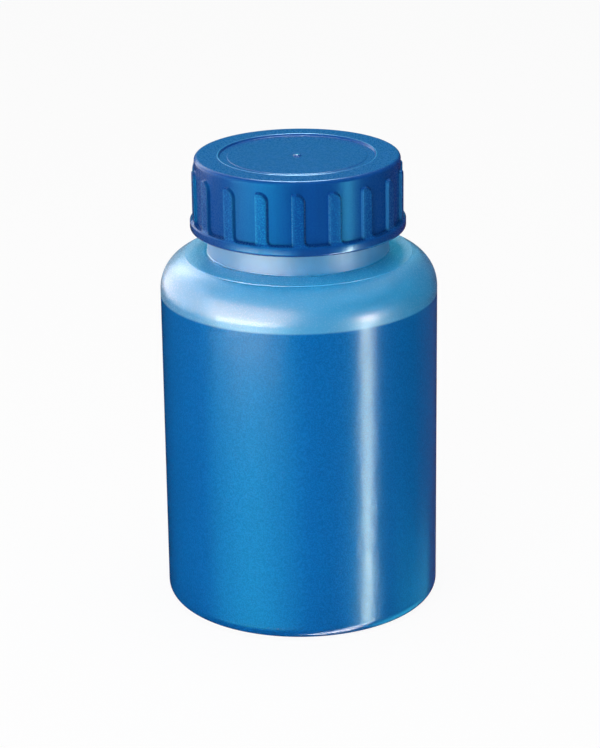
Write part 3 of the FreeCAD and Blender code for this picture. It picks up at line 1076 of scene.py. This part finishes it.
def make_curtain(studio):
    """A dark curtain around the table, which only gloss sees, so that the colours stay deep."""
    radius, bottom, top, sides = 1.6, -1.5, 1.6, 48
    outline = [Vector((0, bottom)), Vector((radius, bottom)), Vector((radius, top))]
    mesh = turned_mesh("dark_curtain", outline, even_turn(sides), True)
    curtain = add_object("dark_curtain", mesh)
    material, tree = bare_material("dark_curtain")
    dark = add_node(tree, "ShaderNodeBsdfDiffuse", {"Color": (*studio.curtain, 1.0)})
    add_node(tree, "ShaderNodeOutputMaterial", {"Surface": dark.outputs[0]})
    curtain.data.materials.append(material)
    curtain.visible_camera = False
    curtain.visible_diffuse = False
    curtain.visible_transmission = False
    curtain.visible_shadow = False


def make_light(name, power, azimuth, elevation, distance, size, tint=WHITE[:3], fade=0.0,
               target=BODY_MIDDLE, gloss_only=True):
    """A rectangular light aimed at a height on the axis; azimuth 0 is the camera's side.

    A card, which only gloss sees, takes its brightness as its power. With fade, in degrees, it
    fades out towards its edges.
    """
    light = bpy.data.lights.new(name, "AREA")
    light.color = tint
    light.shape = "RECTANGLE"
    light.size, light.size_y = size
    light.energy = power * math.pi * size[0] * size[1] if gloss_only else power
    if fade:
        half = math.radians(fade)
        light.spread = 2 * half
        light.energy *= 1 - half / math.tan(half)
    holder = bpy.data.objects.new(name, light)
    bpy.context.scene.collection.objects.link(holder)
    turn = FRONT + math.radians(azimuth)
    rise = math.radians(elevation)
    towards = Vector((math.cos(turn) * math.cos(rise), math.sin(turn) * math.cos(rise),
                      math.sin(rise)))
    holder.location = Vector((0, 0, target)) + towards * distance
    holder.rotation_euler = towards.to_track_quat("Z", "Y").to_euler()
    holder.visible_camera = False
    holder.visible_diffuse = not gloss_only
    holder.visible_transmission = not gloss_only
    holder.visible_glossy = gloss_only


def make_lights(studio):
    """Two softboxes that light the surfaces, and the cards that show in their gloss."""
    make_light("key_softbox", studio.key, -25, 22, 0.75, (0.42, 0.42), gloss_only=False)
    make_light("key_gloss", studio.key_gloss, -42, 14, 0.75, (1.03, 0.76), (1.0, 0.75, 0.58))
    make_light("low_gloss", studio.low_gloss, -46, -5, 0.75, (0.72, 0.12), (1.0, 0.9, 0.78))
    make_light("veil_gloss", studio.veil_gloss, -113, 15, 0.9, (1.4, 0.84), (1.0, 0.92, 0.92))
    make_light("cool_gloss", studio.cool_gloss, -42, -26, 0.75, (1.3, 0.42), (0.06, 0.9, 1.0), 43)
    make_light("side_gloss", studio.side_gloss, 110, -46, 0.75, (0.64, 0.5), (0.06, 0.72, 1.0), 40)
    make_light("strip_gloss", studio.strip_gloss, 56, -27, 0.78, (0.052, 0.4), (0.76, 1.0, 0.94))
    make_light("halo_gloss", studio.halo_gloss, 54, -29, 0.85, (0.5, 0.5), (0.1, 0.85, 1.0), 24)
    make_light("back_gloss", studio.back_gloss, -172, 20, 0.9, (1.2, 0.5), (0.03, 0.75, 1.0),
               target=LID_HEIGHT)
    make_light("ledge_gloss", studio.ledge_gloss, -152, 30, 0.9, (0.42, 0.5), (1.0, 0.93, 0.88),
               26, LID_HEIGHT)
    make_light("violet_gloss", studio.violet_gloss, 140, -10, 0.9, (0.8, 1.2), (0.9, 0.2, 0.9))
    make_light("table_gloss", studio.table_gloss, 48, -62, 0.5, (0.1, 0.42))
    make_light("spot_gloss", studio.spot_gloss, 56, -4, 0.75, (0.16, 0.18), (1.0, 0.85, 0.75))
    make_light("top_softbox", studio.top, 0, 88, 0.8, (0.6, 0.6), gloss_only=False)
    make_light("top_gloss", studio.top_gloss, 180, 62, 0.8, (0.3, 0.35), target=LID_HEIGHT)


def make_camera(studio):
    """The camera: it circles the axis at its elevation and is rolled a little."""
    camera = bpy.data.cameras.new("studio_camera")
    camera.lens = studio.lens
    camera.sensor_width = 36.0
    camera.clip_start = 0.05
    camera.clip_end = 50.0
    holder = bpy.data.objects.new("studio_camera", camera)
    bpy.context.scene.collection.objects.link(holder)
    rise = studio.elevation
    place = Vector((0, -studio.distance * math.cos(rise),
                    studio.pivot_height + studio.distance * math.sin(rise)))
    ahead = (Vector((0, 0, studio.aim_height)) - place).normalized()
    level = ahead.cross(Vector((0, 0, 1))).normalized()
    upright = level.cross(ahead)
    right = level * math.cos(studio.roll) + upright * math.sin(studio.roll)
    above = upright * math.cos(studio.roll) - level * math.sin(studio.roll)
    turned = Matrix((right, above, -ahead)).transposed().to_4x4()
    holder.matrix_world = Matrix.Translation(place) @ turned
    bpy.context.scene.camera = holder


def make_studio(scene):
    """Floor, room, curtain, lights and camera."""
    studio = scene.bottle_studio
    make_floor(studio)
    make_world(studio)
    make_curtain(studio)
    make_lights(studio)
    make_camera(studio)
    scene.view_settings.view_transform = "Standard"


# ---------------------------------------------------------------------------- operators and panel

class OBJECT_OT_bottle_shell(bpy.types.Operator):
    """Make the bottle's shell and the thread on its neck."""

    bl_idname = "object.bottle_shell"
    bl_label = "Bottle Shell"
    bl_options = {"REGISTER", "UNDO"}

    def execute(self, context):
        make_shell(context.scene)
        return {"FINISHED"}


class OBJECT_OT_bottle_liquid(bpy.types.Operator):
    """Make the liquid in the bottle."""

    bl_idname = "object.bottle_liquid"
    bl_label = "Liquid"
    bl_options = {"REGISTER", "UNDO"}

    def execute(self, context):
        make_liquid(context.scene)
        return {"FINISHED"}


class OBJECT_OT_bottle_ring(bpy.types.Operator):
    """Make the sealing ring."""

    bl_idname = "object.bottle_ring"
    bl_label = "Sealing Ring"
    bl_options = {"REGISTER", "UNDO"}

    def execute(self, context):
        make_ring(context.scene)
        return {"FINISHED"}


class OBJECT_OT_bottle_cap(bpy.types.Operator):
    """Make the ribbed screw cap and its thread."""

    bl_idname = "object.bottle_cap"
    bl_label = "Screw Cap"
    bl_options = {"REGISTER", "UNDO"}

    def execute(self, context):
        make_cap(context.scene)
        return {"FINISHED"}


class OBJECT_OT_bottle_studio(bpy.types.Operator):
    """Make the floor, the room, the curtain, the lights and the camera."""

    bl_idname = "object.bottle_studio"
    bl_label = "Studio"
    bl_options = {"REGISTER", "UNDO"}

    def execute(self, context):
        make_studio(context.scene)
        return {"FINISHED"}


OPERATORS = (
    OBJECT_OT_bottle_shell,
    OBJECT_OT_bottle_liquid,
    OBJECT_OT_bottle_ring,
    OBJECT_OT_bottle_cap,
    OBJECT_OT_bottle_studio,
)


class VIEW3D_PT_centrifuge_bottle(bpy.types.Panel):
    """Lists the makers of the bottle's pieces."""

    bl_label = "Centrifuge Bottle"
    bl_space_type = "VIEW_3D"
    bl_region_type = "UI"
    bl_category = "Bottle"

    def draw(self, context):
        for operator in OPERATORS:
            self.layout.operator(operator.bl_idname)


GROUPS = {
    "bottle_sizes": BottleSizes,
    "thread_sizes": ThreadSizes,
    "cap_sizes": CapSizes,
    "bottle_finishes": Finishes,
    "bottle_studio": Studio,
}
CLASSES = (*GROUPS.values(), *OPERATORS, VIEW3D_PT_centrifuge_bottle)


def register():
    """Register the classes and give the scene its groups of sizes."""
    for item in CLASSES:
        bpy.utils.register_class(item)
    for name, group in GROUPS.items():
        setattr(bpy.types.Scene, name, bpy.props.PointerProperty(type=group))


def unregister():
    """Take the groups and the classes away again."""
    for name in GROUPS:
        delattr(bpy.types.Scene, name)
    for item in reversed(CLASSES):
        bpy.utils.unregister_class(item)


def main():
    """Make every piece and the studio."""
    register()
    for make in (bpy.ops.object.bottle_shell, bpy.ops.object.bottle_liquid,
                 bpy.ops.object.bottle_ring, bpy.ops.object.bottle_cap,
                 bpy.ops.object.bottle_studio):
        make()


if __name__ == "__main__":
    main()
